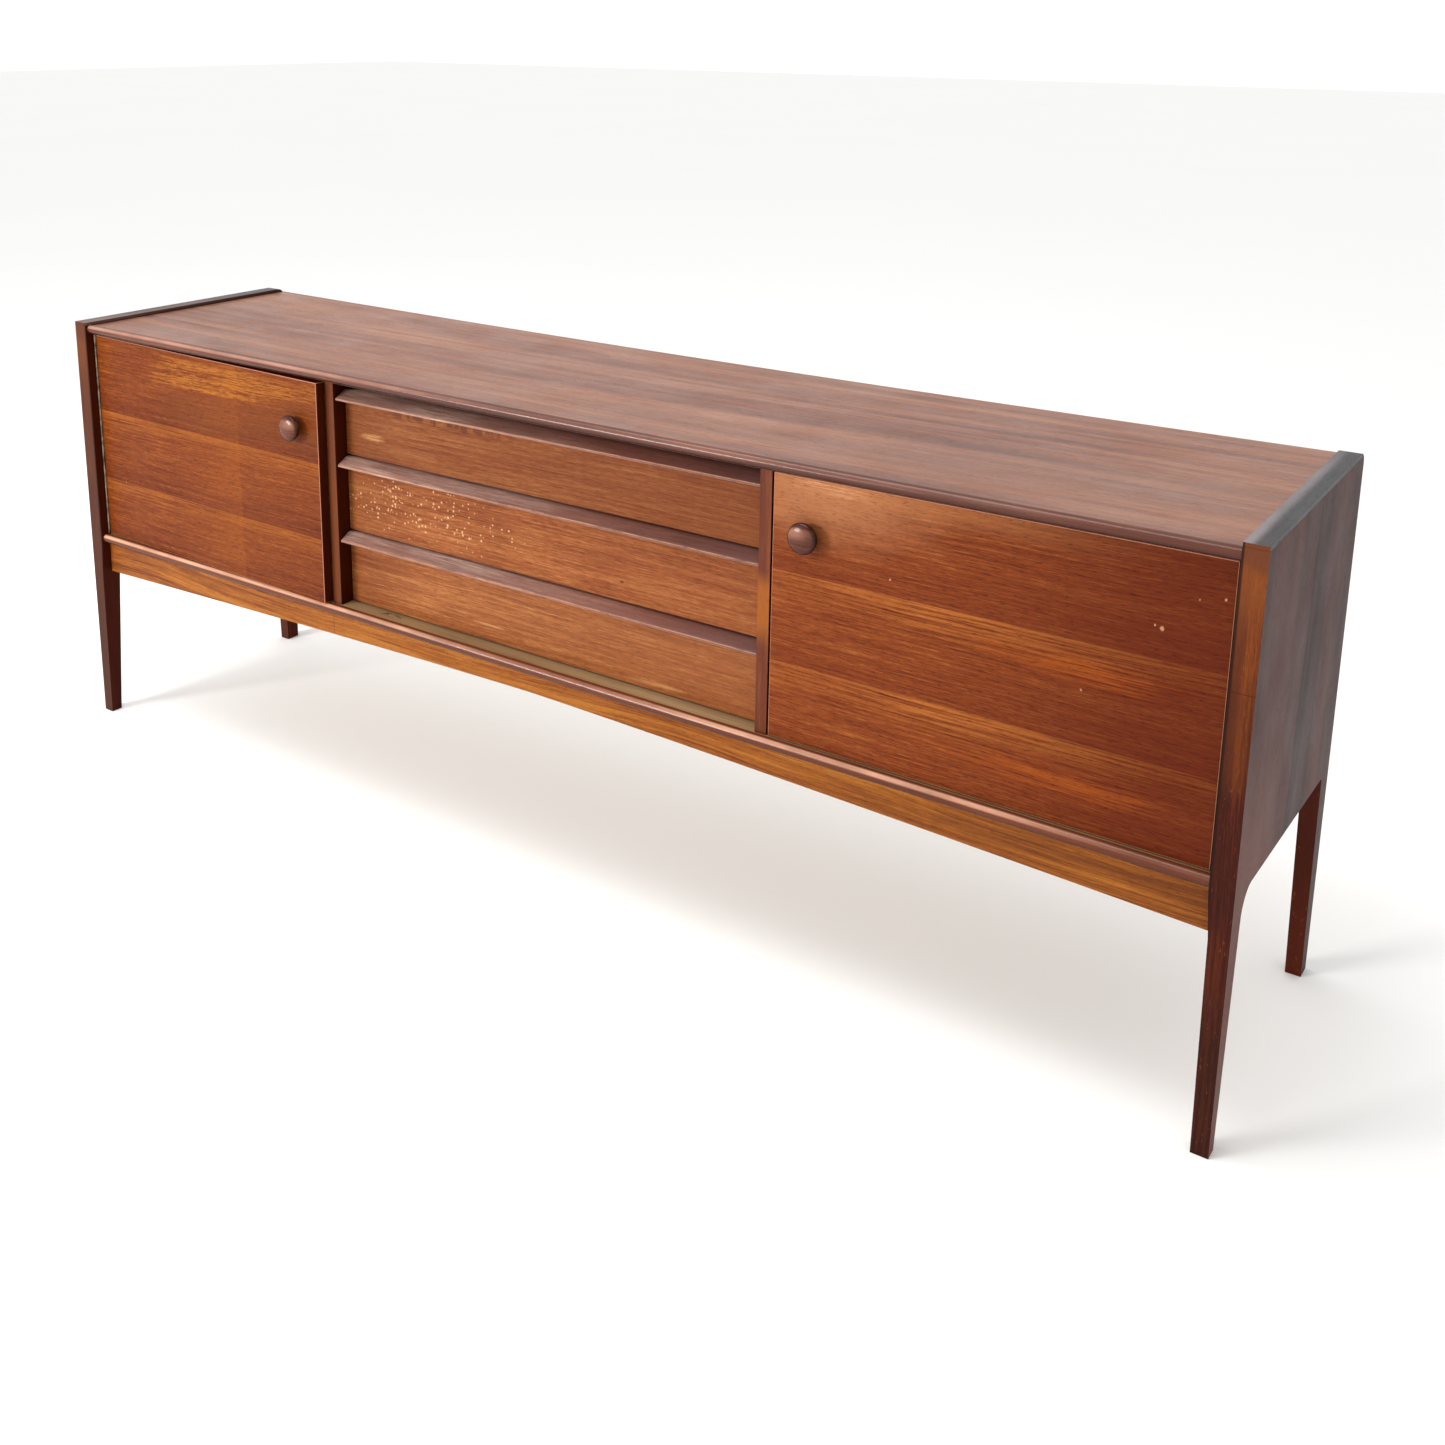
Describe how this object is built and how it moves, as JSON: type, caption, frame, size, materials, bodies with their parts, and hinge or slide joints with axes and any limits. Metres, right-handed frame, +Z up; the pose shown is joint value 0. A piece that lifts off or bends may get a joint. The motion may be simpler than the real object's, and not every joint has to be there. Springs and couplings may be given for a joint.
{
  "type": "sideboard cabinet",
  "caption": "Long low mid-century teak sideboard used as a television console: end cupboards with knobbed doors, a central bank of drawers with sloping pulls, tapered slab legs.",
  "frame": {"origin": "on the floor at the middle of the whole footprint, which runs from the front of the left knob to the back edge of the end boards", "axes": "+X to the right along the front, +Y from the front to the back, +Z up"},
  "size_m": [2, 0.4695, 0.7265],
  "materials": {
    "teak_door": "worn satin oil, reddish, grain along the width",
    "teak_drawer": "worn satin oil, reddish, grain along the width",
    "teak_top": "satin lacquer, dusty pinkish brown, grain along the width",
    "teak_side": "satin lacquer, grey brown, upright grain",
    "teak_dark": "polished dark solid teak, pale at worn edges",
    "teak_gold": "satin oil, golden veneer",
    "inner_wood": "plain unpolished hardwood and plywood",
    "hinge_brass": "dull, tarnished",
    "steel": "plain zinc-plated steel",
    "catch_plastic": "brown moulded plastic"
  },
  "bodies": {
    "root": {"left_end_board": "teak_side", "right_end_board": "teak_side", "left_end_lipping": "teak_dark", "right_end_lipping": "teak_dark", "top_board": "teak_top", "bottom_board": "teak_gold", "top_moulding": "teak_dark", "bottom_moulding": "teak_dark", "back_panel": "inner_wood", "front_apron": "teak_gold", "rear_apron": "inner_wood", "left_divider": "teak_door", "right_divider": "teak_door", "left_shelf": "inner_wood", "right_shelf": "inner_wood", "left_batten_inner": "inner_wood", "left_batten_outer": "inner_wood", "right_batten_inner": "inner_wood", "right_batten_outer": "inner_wood", "left_hinge_leaf_cabinet": "hinge_brass", "right_hinge_leaf_cabinet": "hinge_brass", "left_hinge_pin": "steel", "right_hinge_pin": "steel", "left_catch": "catch_plastic", "right_catch": "catch_plastic", "drawer_1_runner_left": "inner_wood", "drawer_1_runner_right": "inner_wood", "drawer_2_runner_left": "inner_wood", "drawer_2_runner_right": "inner_wood", "drawer_3_runner_left": "inner_wood", "drawer_3_runner_right": "inner_wood"},
    "door_left": {"left_door": "teak_door", "left_knob": "teak_dark", "left_knob_screw": "steel", "left_hinge_leaf_door": "hinge_brass", "left_strike": "steel"},
    "door_right": {"right_door": "teak_door", "right_knob": "teak_dark", "right_knob_screw": "steel", "right_hinge_leaf_door": "hinge_brass", "right_strike": "steel"},
    "drawer_1": {"drawer_1_front": "teak_drawer", "drawer_1_pull": "teak_dark", "drawer_1_side_left": "inner_wood", "drawer_1_side_right": "inner_wood", "drawer_1_back": "inner_wood", "drawer_1_bottom": "inner_wood"},
    "drawer_2": {"drawer_2_front": "teak_drawer", "drawer_2_pull": "teak_dark", "drawer_2_side_left": "inner_wood", "drawer_2_side_right": "inner_wood", "drawer_2_back": "inner_wood", "drawer_2_bottom": "inner_wood"},
    "drawer_3": {"drawer_3_front": "teak_drawer", "drawer_3_pull": "teak_dark", "drawer_3_side_left": "inner_wood", "drawer_3_side_right": "inner_wood", "drawer_3_back": "inner_wood", "drawer_3_bottom": "inner_wood"}
  },
  "joints": [
    {"name": "left_door_hinge", "type": "hinge", "parent": "root", "child": "door_left", "pos_m": [-0.9697, -0.1985, 0.5], "axis": [0, 0, -1], "range_deg": [-1.6, 95]},
    {"name": "right_door_hinge", "type": "hinge", "parent": "root", "child": "door_right", "pos_m": [0.9697, -0.1985, 0.5], "axis": [0, 0, 1], "range_deg": [0, 96.6]},
    {"name": "drawer_1_slide", "type": "slide", "parent": "root", "child": "drawer_1", "axis": [0, -1, 0], "range_m": [0, 0.3]},
    {"name": "drawer_2_slide", "type": "slide", "parent": "root", "child": "drawer_2", "axis": [0, -1, 0], "range_m": [0, 0.3]},
    {"name": "drawer_3_slide", "type": "slide", "parent": "root", "child": "drawer_3", "axis": [0, -1, 0], "range_m": [0, 0.3]}
  ]
}
